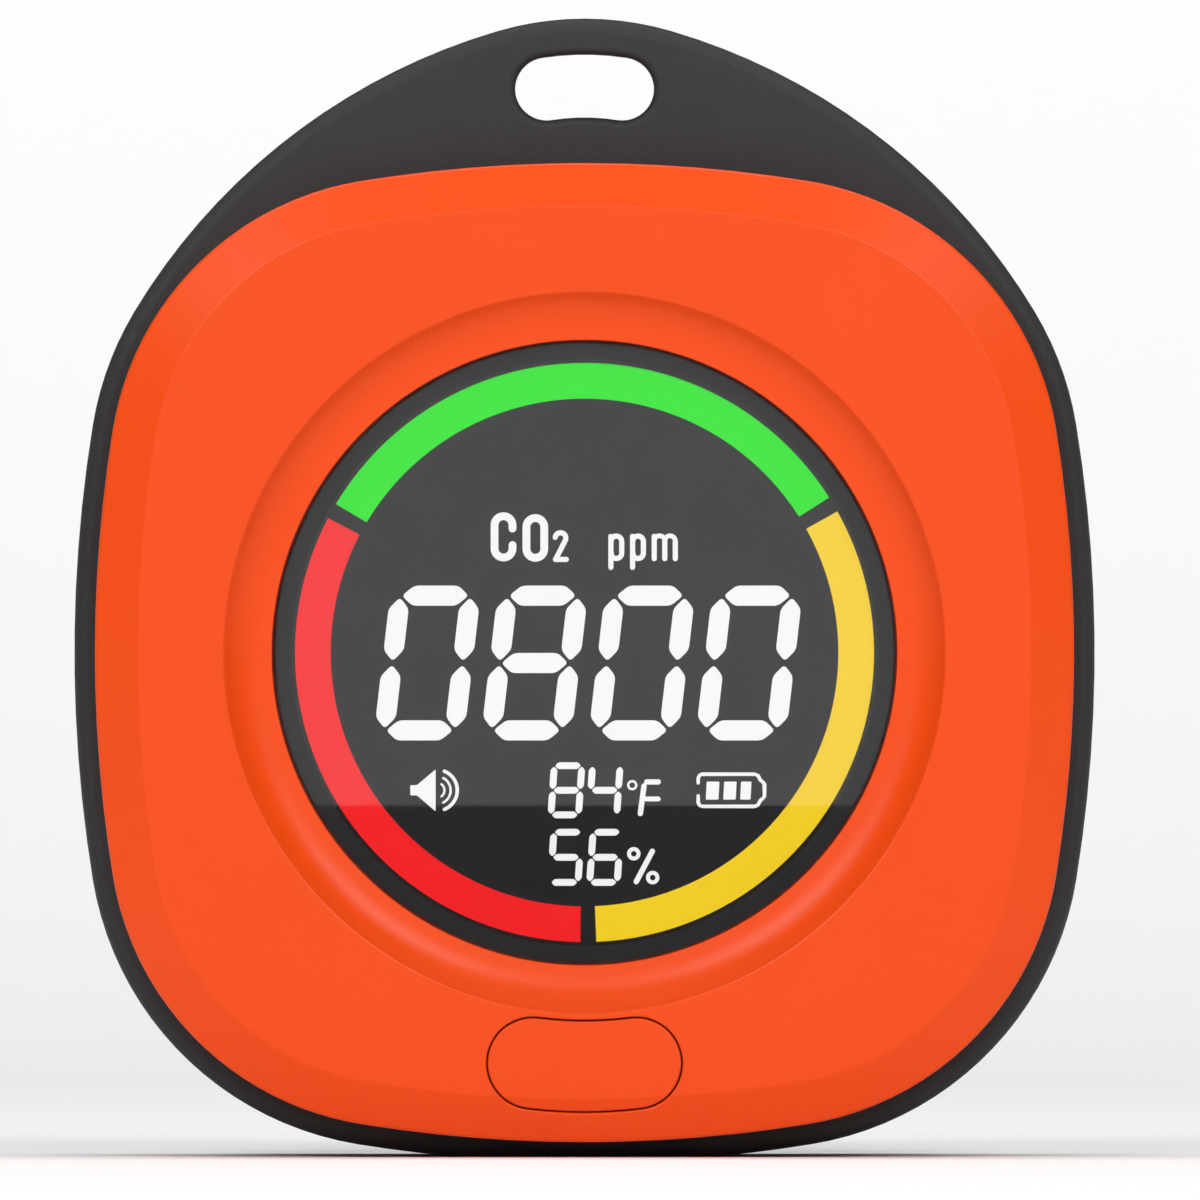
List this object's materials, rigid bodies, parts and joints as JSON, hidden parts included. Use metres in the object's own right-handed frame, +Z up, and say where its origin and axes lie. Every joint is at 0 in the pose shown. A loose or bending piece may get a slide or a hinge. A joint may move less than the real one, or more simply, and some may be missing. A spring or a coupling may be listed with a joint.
{
  "type": "carbon dioxide monitor",
  "caption": "Pocket air-quality monitor: round window over a segment display with coloured bands, bevelled orange cover, one key, grey rear shell with a hanging tab.",
  "frame": {"origin": "centre of the base's footprint: half way through the depth, on the middle line, at the flat the case stands on", "axes": "+Z up, towards the hanging tab; the display faces -Y; +X is to the right of a person facing the display"},
  "size_m": [0.066, 0.024, 0.0736],
  "materials": {
    "shell_grey": "fine spark-textured moulded ABS",
    "cover_orange": "satin moulded ABS, self-coloured orange",
    "lens_smoke": "smoked acrylic window, polished",
    "adhesive_black": "double-sided foam-acrylic tape",
    "foam_black": "closed-cell foam",
    "polariser_dark": "polariser film, nearly black",
    "display_glass": "thin soda-lime glass",
    "diffuser_white": "opal polyester film",
    "guide_clear": "clear acrylic light guide",
    "reflector_white": "white reflective film",
    "frame_white": "white moulded polycarbonate",
    "lamp_white": "white light-emitting diodes in moulded cases",
    "band_green": "green segment of the lit display",
    "band_yellow": "yellow segment of the lit display",
    "band_red": "red segment of the lit display",
    "board_green": "solder-masked glass-epoxy board",
    "sensor_board_blue": "solder-masked glass-epoxy board",
    "moulding_black": "black moulded nylon",
    "chip_black": "moulded epoxy packages",
    "steel_bright": "stamped stainless steel",
    "steel_zinc": "zinc-plated steel",
    "tin_pins": "tin-plated copper alloy",
    "gold_contacts": "gold-plated copper alloy",
    "sounder_disc": "brass diaphragm",
    "sensor_case_gold": "gold-plated moulded optical chamber",
    "membrane_white": "white filter membrane",
    "battery_silver": "aluminium-laminate pouch",
    "connector_cream": "natural nylon",
    "lead_red": "red silicone insulation",
    "lead_black": "black silicone insulation",
    "ceramic_parts": "sintered ceramic chip parts",
    "label_silver": "blank silver-grey polyester label",
    "ferrite_grey": "moulded ferrite"
  },
  "bodies": {
    "housing": {"rear_shell": "shell_grey", "front_cover": "cover_orange", "display_lens": "lens_smoke", "lens_adhesive_ring": "adhesive_black", "display_gasket": "foam_black", "front_polariser": "polariser_dark", "front_glass": "display_glass", "rear_glass": "display_glass", "rear_polariser": "polariser_dark", "diffuser_sheet": "diffuser_white", "light_guide": "guide_clear", "reflector_sheet": "reflector_white", "backlight_lamps": "lamp_white", "display_frame": "frame_white", "display_pins": "tin_pins", "band_green": "band_green", "band_yellow": "band_yellow", "band_red": "band_red", "main_board": "board_green", "switch_housing": "moulding_black", "switch_plate": "steel_bright", "switch_dome": "steel_bright", "switch_legs": "tin_pins", "port_shell": "steel_bright", "port_tongue": "moulding_black", "port_contacts": "gold_contacts", "battery_pad": "foam_black", "battery_cell": "battery_silver", "battery_socket": "connector_cream", "battery_plug": "connector_cream", "battery_lead_red": "lead_red", "battery_lead_black": "lead_black", "sensor_board": "sensor_board_blue", "sensor_case": "sensor_case_gold", "sensor_membrane": "membrane_white", "sensor_lamp": "steel_bright", "sensor_detector": "steel_bright", "header_strip": "moulding_black", "header_pins": "gold_contacts", "sounder_case": "moulding_black", "sounder_disc": "sounder_disc", "controller_chip": "chip_black", "charger_chip": "chip_black", "power_coil": "ferrite_grey", "timing_crystal": "steel_bright", "chip_parts": "ceramic_parts", "humidity_sensor": "chip_black", "rear_label": "label_silver", "case_screws": "steel_zinc", "board_screws": "steel_zinc"},
    "key": {"key_cap": "cover_orange", "switch_plunger": "moulding_black"}
  },
  "joints": [
    {"name": "key_press", "type": "slide", "parent": "housing", "child": "key", "axis": [0, 1, 0], "range_m": [0, 0.00025], "stiffness_N_per_m": 6000, "springref_m": -0.00005, "deforming": ["switch_dome"]}
  ]
}
